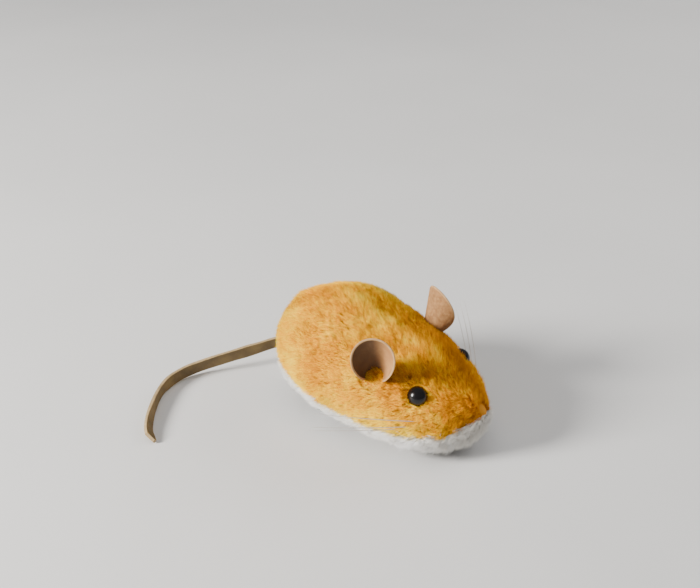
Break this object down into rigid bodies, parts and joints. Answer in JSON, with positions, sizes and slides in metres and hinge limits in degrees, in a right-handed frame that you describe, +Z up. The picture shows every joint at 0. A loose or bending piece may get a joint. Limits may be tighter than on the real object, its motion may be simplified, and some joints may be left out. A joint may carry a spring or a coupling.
{
  "type": "clockwork toy mouse",
  "caption": "Plush-covered clockwork mouse with leather ears and tail, driven wheels under the belly, a front roller and a side winding key.",
  "frame": {"origin": "on the floor that the wheels stand on, under the middle of the plush body's length and width", "axes": "+Z up, nose to -Y, the mouse's left side to +X"},
  "size_m": [0.1278, 0.1375, 0.0532],
  "materials": {
    "plush_gold": "short dense pile",
    "plush_white": "short dense pile",
    "wadding": "loose cotton wadding",
    "ear_leather": "thin matt suede-backed leather",
    "tail_leather": "matt leather strap with a pale cut edge",
    "eye_black": "polished black",
    "nylon": "stiff clear filament",
    "tin": "bright tinned sheet",
    "steel": "plain steel",
    "spring_steel": "blued spring steel",
    "brass": "plain brass",
    "rubber": "matt black rubber",
    "hub": "turned light alloy"
  },
  "bodies": {
    "mouse": {"plush_left": "plush_gold", "plush_right": "plush_gold", "plush_belly": "plush_white", "stuffing_head": "wadding", "stuffing_back": "wadding", "stuffing_rump": "wadding", "ear_left": "ear_leather", "ear_right": "ear_leather", "eye_left": "eye_black", "eye_right": "eye_black", "eye_washers": "tin", "whiskers_left": "nylon", "whiskers_right": "nylon", "tail": "tail_leather", "base_plate": "tin", "side_plate_left": "steel", "side_plate_right": "steel", "frame_pillars": "brass", "frame_screws": "steel", "movement_cover": "tin", "mainspring": "spring_steel", "roller_fork": "tin", "roller_axle": "steel"},
    "great": {"great_wheel": "brass", "click_rivet": "steel", "click_spring": "spring_steel"},
    "pawl": {"click": "steel"},
    "key": {"winding_arbor": "steel", "ratchet_wheel": "steel", "winding_key": "brass"},
    "second": {"second_arbor": "steel", "second_pinion": "steel", "second_wheel": "brass"},
    "drive": {"drive_axle": "steel", "drive_pinion": "steel", "drive_wheel_left": "hub", "drive_wheel_right": "hub", "tyre_left": "rubber", "tyre_right": "rubber"},
    "roller": {"front_roller": "rubber"}
  },
  "joints": [
    {"name": "drive_run", "type": "hinge", "parent": "mouse", "child": "drive", "pos_m": [0, 0.02, 0.01], "axis": [1, 0, 0], "continuous": true},
    {"name": "second_run", "type": "hinge", "parent": "mouse", "child": "second", "pos_m": [0, 0.02568, 0.02057], "axis": [1, 0, 0], "continuous": true},
    {"name": "great_run", "type": "hinge", "parent": "mouse", "child": "great", "pos_m": [0, 0.01273, 0.0216], "axis": [1, 0, 0], "continuous": true},
    {"name": "winding", "type": "hinge", "parent": "great", "child": "key", "pos_m": [0, 0.01273, 0.0216], "axis": [-1, 0, 0], "range_deg": [0, 1800]},
    {"name": "click_swing", "type": "hinge", "parent": "great", "child": "pawl", "pos_m": [0.0068, 0.01933, 0.0248], "axis": [1, 0, 0], "range_deg": [0, 7], "stiffness_Nm_per_rad": 0.0005},
    {"name": "roller_spin", "type": "hinge", "parent": "mouse", "child": "roller", "pos_m": [0, -0.026, 0.005], "axis": [1, 0, 0], "continuous": true}
  ],
  "couplings": [
    {"joint": "second_run", "follows": "drive_run", "ratio": -0.33333},
    {"joint": "great_run", "follows": "drive_run", "ratio": 0.1}
  ]
}
